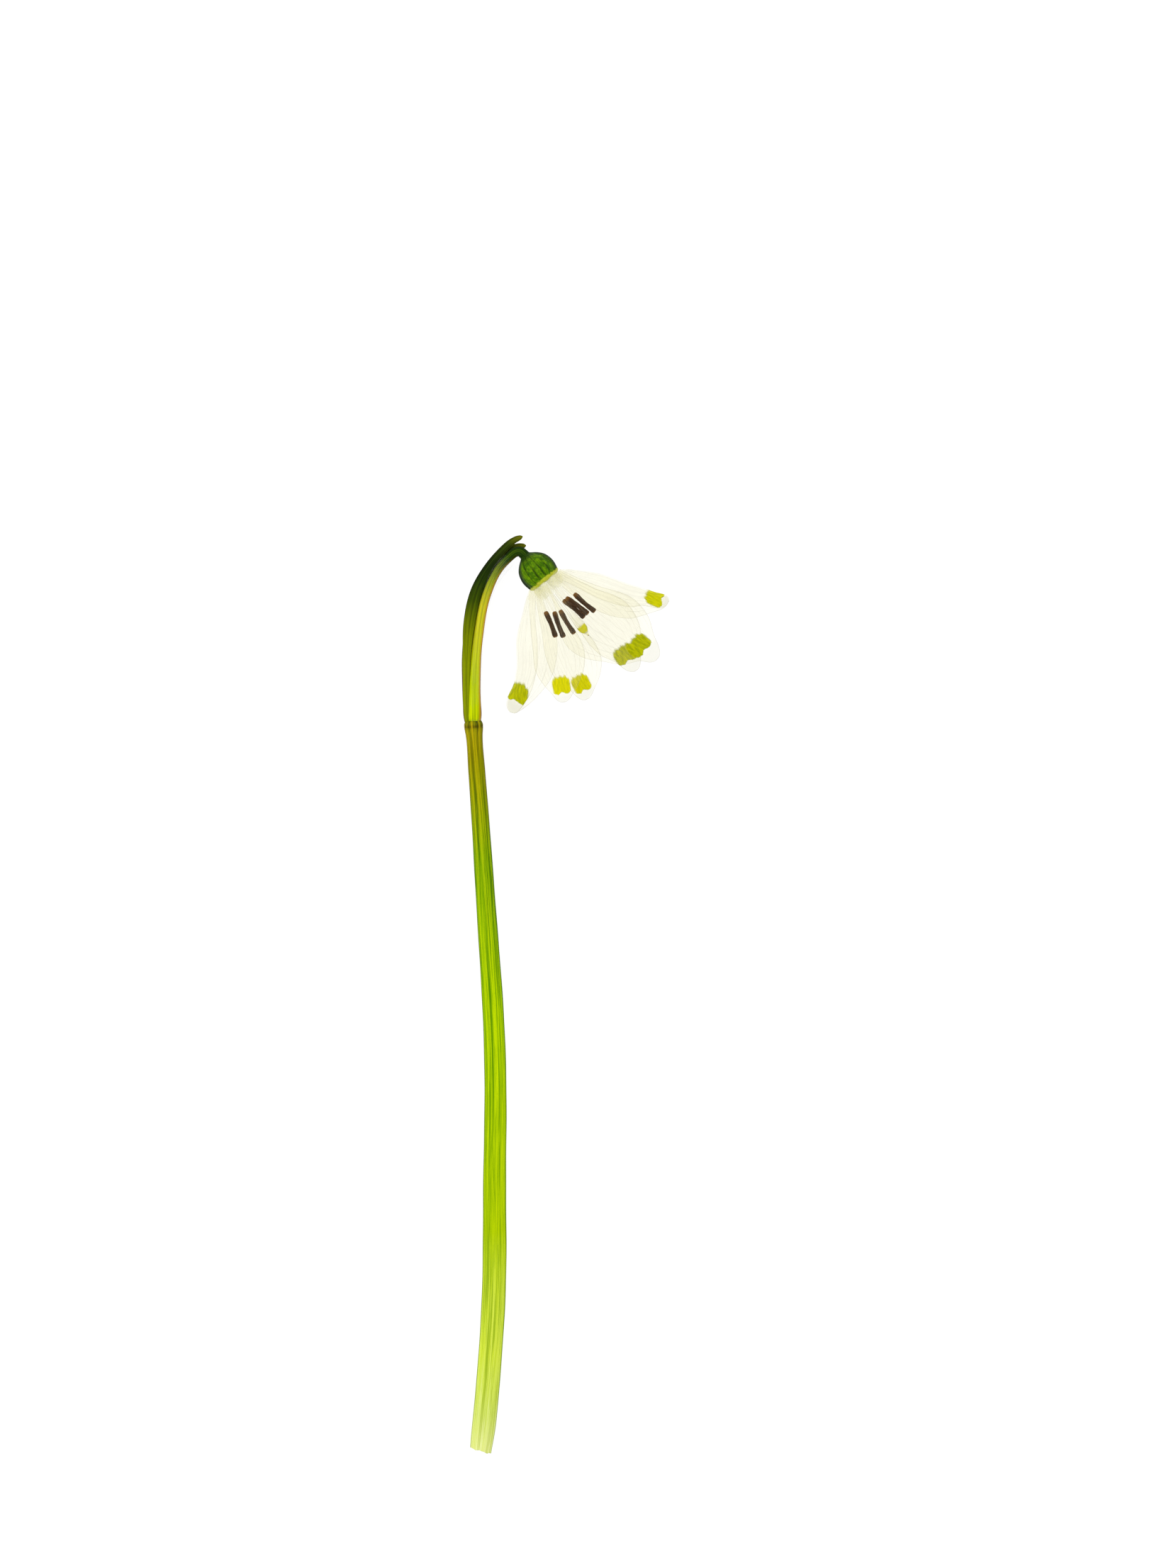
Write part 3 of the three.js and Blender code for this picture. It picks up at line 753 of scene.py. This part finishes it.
TEPALS = {
    "tepal_outer_left": dict(
        shape=side_tepal(LEFT_FOLD,
            [(0.2, -1.6), (4.6, -5.2), (8.8, -8.2), (11.6, -10.6), (13.4, -13.2), (14.3, -15.4), (14.68, -16.9),
             (14.6, -17.8), (14.15, -18.38)],
            [(0.2, -1.4), (4.6, -2.9), (9.6, -4.8), (13.4, -8.9), (14.6, -13.0), (14.8, -16.2), (14.75, -17.2),
             (14.6, -17.9), (14.15, -18.36)],
        ),
        out=1, pleats=5, spot=(2.6, 2.4, 1.6), tone=0.8, folded=True,
    ),
    "tepal_inner_right": dict(
        shape=side_tepal(RIGHT_FOLD,
            [(0.2, 1.6), (4.3, 3.4), (8.6, 5.4), (12.3, 8.1), (13.9, 10.4), (15.1, 11.4), (15.95, 12.2), (16.3, 13.2),
             (16.08, 14.05)],
            [(0.2, 1.4), (5.6, 2.4), (11.3, 4.9), (14.2, 7.7), (15.3, 9.9), (16.1, 11.9), (16.32, 13.2),
             (16.08, 14.05)],
        ),
        out=-1, pleats=5, spot=(1.35, 1.3, 1.2), tone=0.3, folded=True,
    ),
    "tepal_inner_upper": dict(
        shape=face_tepal(
            [(0.2, -1.35), (7.0, -4.4), (13.2, -7.5), (18.4, -10.4)],
            1,
            [(0, 1.6), (0.15, 2.7), (0.3, 3.2), (0.55, 3.8), (0.7, 3.9), (0.85, 2.7), (0.93, 1.7), (1, 1.5)],
            [(0, CLAW_HALF), (0.3, 3.0), (0.62, 4.9), (0.76, 4.2), (0.88, 2.7), (0.94, 1.8), (1, 1.5)],
        ),
        out=1, pleats=6, spot=(0.0, 1.3, 1.0), tone=0.0,
    ),
    "tepal_outer_upper": dict(
        shape=face_tepal(
            [(0.2, 1.35), (7.5, 3.0), (15.0, 4.9), (22.5, 6.5)],
            1,
            [(0, CLAW_HALF), (0.22, 4.6), (0.4, 7.7), (0.56, 7.7), (0.7, 6.2), (0.84, 4.2), (0.91, 2.2), (1, 1.7)],
            [(0, CLAW_HALF), (0.3, 3.1), (0.62, 5.1), (0.76, 4.3), (0.88, 2.5), (0.95, 1.8), (1, 1.6)],
        ),
        out=1, pleats=8, spot=(-0.3, 2.3, 1.3), tone=0.9,
    ),
    "tepal_outer_under": dict(
        shape=face_tepal(
            [(0.2, 1.3), (7.0, 2.6), (14.5, 3.6), (21.7, 2.7)],
            -1,
            [(0, CLAW_HALF), (0.3, 2.7), (0.6, 4.3), (0.76, 3.8), (0.88, 2.2), (0.95, 1.7), (1, 1.5)],
            [(0, CLAW_HALF), (0.3, 3.1), (0.58, 5.0), (0.76, 3.9), (0.88, 2.2), (0.95, 1.6), (1, 1.4)],
        ),
        out=-1, pleats=6, spot=(-0.3, 1.8, 1.3), tone=0.75,
    ),
    "tepal_inner_under": dict(
        shape=face_tepal(
            [(0.2, -1.3), (7.5, -3.4), (14.5, -5.6), (20.3, -7.0)],
            -1,
            [(0, CLAW_HALF), (0.3, 2.4), (0.6, 3.6), (0.76, 3.2), (0.88, 1.8), (0.95, 1.4), (1, 1.3)],
            [(0, CLAW_HALF), (0.3, 2.9), (0.6, 5.3), (0.78, 5.0), (0.88, 3.6), (0.95, 2.1), (1, 1.7)],
        ),
        out=-1, pleats=6, spot=(0.3, 1.3, 1.0), tone=0.05,
    ),
}


# -------- raised veins and cream pads, made by Geometry Nodes
def finished(nodes, shape, material):
    """The end of each tree: smooth, made real, and in its material."""
    smooth = nodes.grow("SetShadeSmooth", {"Geometry": shape})
    real = nodes.grow("RealizeInstances", {"Geometry": smooth})
    return nodes.grow("SetMaterial", {"Geometry": real, "Material": material})


def build_strands(nodes, lines, radius, sides, material):
    """Turns each line of a mesh into a thin round strand, thinned by its points' own thickness."""
    curve = nodes.grow("MeshToCurve", {"Mesh": lines})
    thickness = nodes.grow("InputNamedAttribute", {"Name": "thickness"}, data_type="FLOAT_VECTOR")
    share = nodes.out("ShaderNodeSeparateXYZ", {0: thickness})
    circle = nodes.grow("CurvePrimitiveCircle", {"Resolution": sides, "Radius": 1.0})
    inputs = {"Curve": curve, "Profile Curve": circle, "Scale": share * radius, "Fill Caps": True}
    return finished(nodes, nodes.grow("CurveToMesh", inputs), material)


def build_pads(nodes, count, ring_radius, size, unevenness, seed, material):
    """Soft round pads in a ring: one small ball, set round a circle, jittered, stretched and made lumpy."""
    ring = nodes.grow("MeshCircle", {"Vertices": count, "Radius": ring_radius})
    reach = size * unevenness
    back = reach * -1.0
    low, high = nodes.combine(back, back, back), nodes.combine(reach, reach, reach)
    jitter = nodes.out("FunctionNodeRandomValue", {0: low, 1: high, "Seed": seed}, data_type="FLOAT_VECTOR")
    ring = nodes.grow("SetPosition", {"Geometry": ring, "Offset": jitter})
    ball = nodes.grow("MeshIcoSphere", {"Radius": size, "Subdivisions": 4})
    stretch = nodes.out("FunctionNodeRandomValue", {2: 0.6, 3: 1.15, "Seed": 7}, 1, data_type="FLOAT")
    scale = nodes.combine(stretch, stretch, 1.4)
    pads = nodes.grow("InstanceOnPoints", {"Points": ring, "Instance": ball, "Scale": scale})
    real = nodes.grow("RealizeInstances", {"Geometry": pads})
    lumps = nodes.noise(nodes.grow("InputPosition"), 1800.0, 2.0, 0.5)
    push = {0: nodes.grow("InputNormal"), "Scale": (lumps - 0.5) * reach}
    push = nodes.out("ShaderNodeVectorMath", push, operation="SCALE")
    lumpy = nodes.grow("SetPosition", {"Geometry": real, "Offset": push})
    return finished(nodes, lumpy, material)


def grower(name, inputs, result, build):
    inputs = {**inputs, "Material": "Material"}
    return node_group(name, "GeometryNodeTree", inputs, (result, "Geometry"), build)


STRANDS = grower("raised strands", {"Lines": "Geometry", "Radius": 0.05 * MM, "Sides": 6}, "Strands", build_strands)
PADS = grower(
    "ring of pads",
    {"Count": 12, "Ring Radius": 1.0, "Pad Size": 1.0, "Unevenness": 0.3, "Seed": 3},
    "Pads",
    build_pads,
)


def grown(name, tree, inputs, mesh=None):
    """The plain mesh that a Geometry Nodes tree makes with these inputs, from a mesh if it takes one."""
    holder = link(bpy.data.objects.new(name + "_holder", mesh or bpy.data.meshes.new(name + "_holder")))
    modifier = holder.modifiers.new("nodes", "NODES")
    modifier.node_group = tree
    keys = {item.name: item.identifier for item in tree.interface.items_tree if item.in_out == "INPUT"}
    for key, value in inputs.items():
        modifier[keys[key]] = value
    bpy.context.view_layer.update()
    made = bpy.data.meshes.new_from_object(holder.evaluated_get(bpy.context.evaluated_depsgraph_get()))
    made.name = name
    bpy.data.objects.remove(holder)
    return made


def add_veins(name, placed, s, material):
    """Raised veins on a tepal's middle surface, at even shares across it, from the claw to short of the tip."""
    points, edges, thickness = [], [], []
    rows = slice(4, int(VEIN_REACH * len(placed)))
    for k in range(1, VEIN_LINES):
        share = k / VEIN_LINES * (TEPAL_COLUMNS - 1)
        j, part = int(share), share % 1
        line = (placed[rows, j] * (1 - part) + placed[rows, j + 1] * part)[::2]
        edges += [(len(points) + m, len(points) + m + 1) for m in range(len(line) - 1)]
        points += list(line)
        thickness += list((1.0 - 0.85 * ease(s[rows] / 0.85))[::2])
    mesh = bpy.data.meshes.new(name + "_lines")
    mesh.from_pydata((np.array(points) * MM).tolist(), edges, [])
    set_value(mesh, "thickness", np.stack([thickness] * 3, -1))
    inputs = {"Radius": VEIN_RADIUS * MM, "Sides": VEIN_SIDES, "Material": material}
    settle(name, grown(name, STRANDS, inputs, mesh))


def add_pads():
    """Cream pads between the ovary's rim and the claws of the tepals."""
    sizes = {"Ring Radius": PAD_RING * MM, "Pad Size": PAD_RADIUS * MM, "Unevenness": 0.5}
    mesh = grown("cream_pads", PADS, {"Count": PAD_COUNT, **sizes, "Seed": 3, "Material": pad_material()})
    spots = np.empty(len(mesh.vertices) * 3)
    mesh.vertices.foreach_get("co", spots)
    ring = spots.reshape(-1, 3) / MM
    placed = from_bell(np.stack([ring[:, 2] + PADS_OUT, ring[:, 0], ring[:, 1]], -1)) * MM
    mesh.vertices.foreach_set("co", placed.ravel())
    mesh.update()
    settle("cream_pads", mesh)


# -------- building the flower
def add_tepals():
    tissue, vein = tepal_material(), vein_material()
    for seed, (name, facts) in enumerate(TEPALS.items(), 1):
        placed, s = add_tepal(name, seed, tissue, **facts)
        add_veins(name + "_veins", placed, s, vein)


def add_ovary():
    """A ribbed egg with a ragged rim, round the bell's axis."""
    line = Line([(-OVARY_LENGTH, 0, 0), (-2.5, 0, 0), (0.35, 0, 0)])
    radius = stations(
        [(0, 0.78), (0.04, 1), (0.14, 1.75), (0.3, 2.6), (0.5, 3.06), (0.7, 3.16), (0.86, 3), (0.94, 2.86), (1, 2.5)]
    )

    def ribs(s, a):
        swell = np.abs(np.cos(3 * a + 0.5)) ** 0.6
        depth = 0.055 * ease(s / 0.25) * ease((1 - s) / 0.12)
        ragged = 0.03 * np.sin(17 * a) + 0.02 * np.sin(29 * a + 1.0)
        return 1 + depth * (swell - 0.7) + ragged * ease((s - 0.9) / 0.06)

    points, faces, values = stalk(line, np.linspace(0, 1, 60), 96, radius, radius, ribs)
    cosine, sine, along = values["lie"].T
    lie = np.stack([cosine, np.arctan2(sine, cosine) / (2 * math.pi), along * line.length], -1)
    piece("ovary_skin", (from_bell(points), faces, {"lie": lie}), ovary_material(), ["ovary"])


def add_style():
    """A club, softly three-sided, drawn out into the stigma."""
    line = Line([(-0.1, 0, 0), (6, 0, 0), (12.1, 0, 0)])
    radius = stations(
        [(0, 0.6), (0.1, 0.46), (0.25, 0.42), (0.5, 0.56), (0.7, 0.68), (0.84, 0.8), (0.89, 0.74), (0.94, 0.4)]
        + [(0.97, 0.16), (0.995, 0.12), (1, 0.03)]
    )
    stops = np.concatenate([np.linspace(0, 0.85, 40), np.linspace(0.86, 1, 26)])
    sides = lambda s, a: 1 + 0.04 * np.cos(3 * a) * ease(s / 0.5)
    points, faces, values = stalk(line, stops, 32, radius, radius, sides)
    values["lie"][:, 2] *= STYLE_LENGTH
    piece("style_club", (from_bell(points), faces, values), style_material(), ["style"])


# For each stamen: its place round the axis in degrees, and its anther's foot and direction as x and y in the bell.
STAMENS = [
    (170, (4.35, -3.2), (8.9, -4.55)),
    (110, (5.75, -1.15), (10.4, -1.75)),
    (50, (4.7, 0.95), (9.2, 2.15)),
    (-10, (4.95, 2.5), (9.7, 3.4)),
    (-70, (4.6, 0.4), (9.1, 1.35)),
    (-130, (5.2, -2.0), (9.6, -3.45)),
]


def add_stamens():
    """Each stamen: a thin thread swollen at its foot, and an anther of two long sacs with blunt ends."""
    thread, brown = thread_material(), anther_material()
    girth = stations([(0, 0.55), (0.14, 0.6), (0.3, 0.34), (0.6, 0.2), (1, 0.13)])
    plump = stations(
        [(0, 0.2), (0.02, 0.33), (0.06, 0.39), (0.3, 0.42), (0.55, 0.38), (0.8, 0.42)]
        + [(0.95, 0.43), (0.985, 0.36), (1, 0.2)]
    )
    stops = np.concatenate([[0, 0.012, 0.03, 0.06], np.linspace(0.1, 0.92, 30), [0.95, 0.97, 0.985, 1]])
    for i, (angle, foot, head) in enumerate(STAMENS, 1):
        turn = math.radians(angle)
        rise = STAMEN_RISE * math.sin(turn)
        start = np.array([*foot, rise * 0.92])
        lean = np.array([*head, rise * 1.08]) - start
        lean /= np.linalg.norm(lean)
        end = start + lean * ANTHER_LENGTH
        root = np.array([0.35, STAMEN_RING * math.cos(turn), STAMEN_RING * math.sin(turn)])
        knee = root * 0.45 + start * 0.55 + np.array([0, 0.12 * math.cos(turn), 0.12 * math.sin(turn)])
        line = Line([root, knee, start + lean * 0.25])
        shape = in_bell(*stalk(line, np.linspace(0, 1, 30), 12, girth, girth))
        piece(f"thread_{i}", shape, thread, [f"filament_{i}"])

        def sacs(s, a):
            """Two sacs with a groove between them above and below, parted at both ends."""
            waist = 1 - 0.30 * np.abs(np.sin(a)) ** 6 * (0.7 + 0.3 * np.cos(2 * math.pi * s))
            return waist + 0.03 * np.sin(23 * s + 2 * a + i) + 0.02 * np.sin(51 * s + 5 * a)

        bend = np.cross(lean, [0, 0, 1.0]) * 0.10 * (-1) ** i
        line = Line([start, start * 0.5 + end * 0.5 + bend, end])
        shape = in_bell(*stalk(line, stops, 24, plump, lambda s: plump(s) * ANTHER_FLATNESS, sacs))
        piece(f"pollen_sacs_{i}", shape, brown, [f"anther_{i}"])


def add_scape():
    """The flattened stem, lying on the table and rising to the ring under the spathe."""
    rest = SCAPE_HEIGHT / 2
    line = Line(
        [(-14.5, scape_low[1] + 0.2, rest), (-13.8, -71.9, rest), (-12.4, -54.0, rest), (-12.1, -30.0, rest)]
        + [(-12.1, -9.5, rest + 0.01), (-13.2, 9.0, rest + 0.04), (-14.2, 24.0, 1.4), (-15.1, 37.0, 2.05)]
        + [(-15.72, scape_high[1] + 1.1, 2.7)]
    )
    width = stations(
        [(0, 1.78), (0.02, 1.9), (0.12, 1.95), (0.25, 1.98), (0.4, 1.88), (0.6, 1.76), (0.8, 1.56), (0.93, 1.42)]
        + [(0.982, 1.42), (0.9915, 1.56), (0.996, 1.54), (1, 1.3)]
    )
    height = stations([(0, rest), (0.9, rest), (0.97, 1.2), (0.99, 1.42), (0.997, 1.42), (1, 1.1)])
    stops = np.concatenate([[0, 0.001, 0.002], np.linspace(0.005, 0.96, 170), np.linspace(0.964, 1, 22)])

    def ribs(s, a):
        edge = 0.018 * np.cos(2 * a) ** 9
        fine = 0.006 * np.cos(22 * a + 2 * np.sin(3 * s)) + 0.004 * np.cos(34 * a + 5 * s)
        wander = 0.012 * np.sin(31 * s + a) + 0.008 * np.sin(73 * s + 2 * a)
        return 1 + edge + fine + wander

    def cut(s, a):
        """The lower end is cut on a slight slant, and its skin stands up unevenly."""
        uneven = 0.30 * -np.cos(a) + 0.08 * np.sin(5 * a) + 0.05 * np.sin(11 * a + 1)
        return np.where(s < CUT_SHARE, uneven * (1 - s / CUT_SHARE), 0)

    points, faces, values = stalk(line, stops, 96, width, height, ribs, cut)
    points[:, 2] = np.maximum(points[:, 2], 0.0)
    skin = stem_material("scape skin", SCAPE_COLORS, 4.6, line.length, 0.6, 0.94)
    piece("scape_stem", (points, faces, values), skin, ["scape"])


def add_pedicel():
    """The stalk inside the spathe, arching over and down into the ovary."""
    neck = tuple(from_bell([-OVARY_LENGTH + 0.25, 0, 0]))
    points = [(-15.55, 44.9, 2.65), (-15.45, 53.0, 3.05), (-14.9, 60.1, 3.5), (-13.65, 66.9, 4.05), (-11.7, 71.4, 4.5),
        (-9.6, 73.75, 4.85), (-8.45, 74.6, 5.0), (-7.65, 74.6, 5.07)]
    line = Line([*points, neck])
    girth = stations(
        [(0, 0.9), (0.05, 1.12), (0.1, 1.12), (0.2, 1.0), (0.4, 0.84), (0.55, 0.8), (0.8, 0.8), (0.93, 0.8), (1, 0.9)]
    )
    stops = np.concatenate([np.linspace(0, 0.8, 70), np.linspace(0.806, 1, 50)])
    round_ribs = lambda s, a: 1 + 0.012 * np.cos(9 * a) + 0.01 * np.sin(29 * s + a)
    skin = stem_material("pedicel skin", PEDICEL_COLORS, 2.2, line.length, stain=tint(196, 140, 20))
    piece("pedicel_stalk", stalk(line, stops, 48, girth, girth, round_ribs), skin, ["pedicel"])
    return line


UPPER_BRACT = [(-16.55, 45.5, 2.95), (-16.78, 48.0, 3.2), (-16.85, 52.0, 3.4), (-16.75, 57.5, 3.8), (-16.35, 62.4, 4.1),
    (-15.05, 68.1, 4.6), (-12.85, 72.15, 5.0), (-10.2, 75.35, 5.45), (-8.8, 76.5, 5.65), (-7.3, 77.2, 5.8)]
LOWER_BRACT = [(-15.8, 45.4, 2.2), (-15.95, 48.0, 1.85), (-16.2, 53.0, 2.0), (-16.45, 57.5, 2.4), (-16.2, 62.6, 3.0),
    (-14.95, 68.2, 3.6), (-12.8, 72.1, 4.05), (-10.2, 74.8, 4.1), (-8.35, 75.5, 3.9), (-6.75, 75.75, 3.8)]


def add_bracts():
    """The spathe's two leaves: one lies along the stalk's outer side, the other is the channel the stalk lies in."""
    width_upper = [(0, 0.4), (0.06, 0.55), (0.3, 0.6), (0.5, 0.95), (0.72, 0.88), (0.88, 0.62), (0.95, 0.5)]
    width_upper += [(0.98, 0.4), (0.993, 0.26), (1, 0.05)]
    width_lower = [(0, 1.15), (0.04, 1.38), (0.1, 1.4), (0.25, 1.25), (0.4, 1.0), (0.72, 0.88), (0.88, 0.62)]
    width_lower += [(0.95, 0.52), (0.98, 0.42), (0.993, 0.28), (1, 0.05)]
    thick = stations([(0, 0.32), (0.5, 0.42), (0.9, 0.40), (0.97, 0.34), (0.99, 0.22), (1, 0.05)])
    stops = np.concatenate([np.linspace(0, 0.94, 90), np.linspace(0.945, 1, 30)])
    keel = lambda s, a: 1 + 0.10 * np.cos(2 * a) + 0.02 * np.sin(19 * s + 3 * a)
    skin = stem_material("bract leaf", BRACT_COLORS, 2.2, Line(UPPER_BRACT).length, painted_shade_from=0.92)
    for name, path, widths in (("upper", UPPER_BRACT, width_upper), ("lower", LOWER_BRACT, width_lower)):
        shape = stalk(Line(path), stops, 32, stations(widths), thick, keel)
        piece(f"bract_{name}", shape, skin, [f"spathe_bract_{name}"])


def add_membrane(pedicel):
    """The film that joins the bracts' inner edges round the free side of the pedicel, standing off near the top."""
    s, t = np.meshgrid(np.linspace(0.02, 0.93, 90), np.linspace(-1, 1, 41), indexing="ij")
    _, across, raised = pedicel.directions(s)
    turn = FILM_TURN * t
    radius = stations([(0, 1.08), (0.5, 1.02), (0.68, 1.06), (0.8, 1.4), (0.88, 1.5), (0.93, 1.2)])(s)
    radius = radius * (1 + 0.02 * np.sin(40 * s + 3 * t))
    film = pedicel.at(s) + across * (radius * np.cos(turn))[..., None] + raised * (radius * np.sin(turn))[..., None]
    points, faces = closed_sheet(film, np.full(s.shape, FILM_THICKNESS))
    lie = np.stack([t, np.zeros_like(t), s], -1).reshape(-1, 3)
    values = {"lie": np.concatenate([lie, lie])}
    piece("spathe_film", (points, faces, values), film_material(), ["spathe_membrane"])


# -------- table, light and camera
def add_table():
    """A pale sheet that glows evenly, so the flower is lit from behind."""
    size, low = 3.0, -0.00005
    mesh = bpy.data.meshes.new("table")
    corners = [(-size, -size, low), (size, -size, low), (size, size, low), (-size, size, low)]
    mesh.from_pydata(corners, [], [(0, 1, 2, 3)])
    skin = Skin("table top", 0.9, 0.1)
    grain = skin.noise(skin.out("ShaderNodeTexCoord", at="Object"), 30.0, 2.0)
    skin.shader.inputs["Emission Color"].default_value = (1, 1, 1, 1)
    skin.shader.inputs["Emission Strength"].default_value = 0.92
    mesh.materials.append(skin.made(skin.mix(grain, (0.14, 0.14, 0.14, 1), (0.15, 0.15, 0.15, 1))))
    table = link(bpy.data.objects.new("table", mesh))


def add_light():
    world = bpy.data.worlds.new("studio")
    scene.world = world
    world.use_nodes = True
    background = world.node_tree.nodes["Background"].inputs
    background["Color"].default_value = (1, 1, 1, 1)
    background["Strength"].default_value = 0.8
    lamp = bpy.data.lights.new("softbox", "AREA")
    lamp.shape = "DISK"
    lamp.size = 0.5
    lamp.energy = 1.6
    softbox = link(bpy.data.objects.new("softbox", lamp))
    softbox.location = (-0.25, 0.28, 0.6)
    aim = Vector((0.0, 0.04, 0.0)) - softbox.location
    softbox.rotation_euler = aim.to_track_quat("-Z", "Y").to_euler()
    scene.view_settings.view_transform = "Standard"
    scene.cycles.transparent_max_bounces = 48  # the clear tissue lies in many layers


def add_camera():
    data = bpy.data.cameras.new("camera")
    data.lens = LENS
    data.sensor_width = SENSOR
    data.clip_start = 0.01
    camera = link(bpy.data.objects.new("camera", data))
    distance = VIEW_HEIGHT / 2 * LENS / (SENSOR / 2)
    camera.location = (VIEW_CENTRE[0] * MM, VIEW_CENTRE[1] * MM, (distance + RING_AT[2] * 0.7) * MM)
    scene.camera = camera


add_table()
add_light()
add_camera()
add_tepals()
add_ovary()
add_style()
add_stamens()
add_pads()
add_scape()
add_membrane(add_pedicel())
add_bracts()
